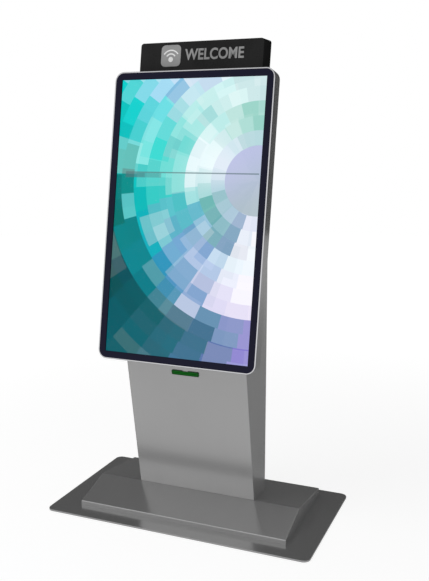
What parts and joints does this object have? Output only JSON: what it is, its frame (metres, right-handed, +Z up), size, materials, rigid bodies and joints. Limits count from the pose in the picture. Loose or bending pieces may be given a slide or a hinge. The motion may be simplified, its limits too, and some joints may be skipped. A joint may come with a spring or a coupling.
{
  "type": "touchscreen kiosk",
  "caption": "Free-standing kiosk: tilted portrait touchscreen with a header on a leaning sheet-metal column, receipt slot, lockable rear door and wide floor plate.",
  "frame": {"origin": "on the floor at the centre of the base plate", "axes": "+Z up, the screen faces -Y, +X to the right of a person facing the screen"},
  "size_m": [0.985, 0.536, 1.6517],
  "materials": {
    "base_steel": "satin grey metallic coat",
    "cover_steel": "satin grey metallic coat",
    "satin_silver": "satin silver metallic coat",
    "bright_silver": "fine satin",
    "zinc": "bright zinc",
    "zinc_plate": "dull zinc",
    "chrome": "polished",
    "brass": "tinned brass",
    "nylon": "natural",
    "black_plastic": "moulded",
    "black_aluminium": "black anodised",
    "printer_grey": "moulded",
    "rubber": "matt",
    "paper": "thermal paper",
    "cardboard": "card",
    "green_plastic": "translucent",
    "touch_glass": "clear with a dark printed border",
    "screen": "lit picture",
    "circuit_board": "solder mask",
    "black_steel": "black satin",
    "black_acrylic": "gloss"
  },
  "bodies": {
    "frame": {"base_plate": "base_steel", "base_cover_front": "cover_steel", "base_cover_rear": "cover_steel", "column_foot": "zinc_plate", "foot_bolts": "zinc", "column_shell": "satin_silver", "rear_jambs": "satin_silver", "column_top_cap": "satin_silver", "equipment_shelf": "zinc_plate", "printer_shelf": "zinc_plate", "shelf_screws": "zinc", "lower_rear_panel": "satin_silver", "upper_rear_panel": "satin_silver", "case_screws": "zinc", "pivot_brackets": "zinc_plate", "pivot_bushes": "nylon", "lock_keeper": "zinc_plate", "fan_frames": "black_plastic", "fan_screws": "zinc", "mini_computer": "black_aluminium", "power_supply": "zinc_plate", "power_inlet": "black_plastic", "inlet_pins": "brass", "switch_body": "black_plastic", "printer_chassis": "printer_grey", "print_head": "zinc_plate", "cutter_unit": "printer_grey", "paper_spindle": "nylon", "roll_holder": "zinc_plate", "paper_web": "paper", "slot_bezel": "green_plastic", "touch_glass": "touch_glass", "bezel_rim": "bright_silver", "glass_gasket": "rubber", "lcd_panel": "screen", "lcd_chassis": "zinc_plate", "lcd_standoffs": "zinc", "display_board": "circuit_board", "display_housing": "satin_silver", "mount_rails": "black_steel", "display_bolts": "zinc", "header_shell": "black_steel", "header_face": "black_acrylic", "header_leds": "circuit_board", "mains_lead": "rubber", "display_lead": "rubber"},
    "door": {"rear_door": "satin_silver", "door_pivot_pins": "zinc", "lock_body": "chrome"},
    "lock": {"lock_plug": "chrome", "lock_cam": "zinc"},
    "left_fan": {"fan_rotor_left": "black_plastic"},
    "right_fan": {"fan_rotor_right": "black_plastic"},
    "rocker": {"rocker": "black_plastic"},
    "platen": {"platen_roller": "rubber", "platen_shaft": "zinc"},
    "printer_lid": {"printer_lid": "printer_grey", "lid_pin": "zinc"},
    "paper_roll": {"paper_roll": "paper", "paper_core": "cardboard"}
  },
  "joints": [
    {"name": "door_swing", "type": "hinge", "parent": "frame", "child": "door", "pos_m": [-0.194, 0.073, 0.575], "axis": [0, 0, 1], "range_deg": [0, 110]},
    {"name": "lock_turn", "type": "hinge", "parent": "door", "child": "lock", "pos_m": [0.188, 0.07, 0.575], "axis": [0, 1, 0], "range_deg": [0, 90]},
    {"name": "left_fan_spin", "type": "hinge", "parent": "frame", "child": "left_fan", "pos_m": [-0.095, 0.0635, 1.13], "axis": [0, 1, 0], "continuous": true},
    {"name": "right_fan_spin", "type": "hinge", "parent": "frame", "child": "right_fan", "pos_m": [0.095, 0.0635, 1.13], "axis": [0, 1, 0], "continuous": true},
    {"name": "rocker_tilt", "type": "hinge", "parent": "frame", "child": "rocker", "pos_m": [0.096, 0.073, 0.104], "axis": [1, 0, 0], "range_deg": [-16, 0]},
    {"name": "paper_roll_spin", "type": "hinge", "parent": "frame", "child": "paper_roll", "pos_m": [0, 0.02, 0.516], "axis": [1, 0, 0], "continuous": true},
    {"name": "platen_spin", "type": "hinge", "parent": "frame", "child": "platen", "pos_m": [0, -0.088, 0.5393], "axis": [1, 0, 0], "continuous": true},
    {"name": "printer_lid_lift", "type": "hinge", "parent": "frame", "child": "printer_lid", "pos_m": [0, -0.036, 0.552], "axis": [-1, 0, 0], "range_deg": [0, 75]}
  ],
  "couplings": [
    {"joint": "platen_spin", "follows": "paper_roll_spin", "ratio": -6.6667}
  ]
}
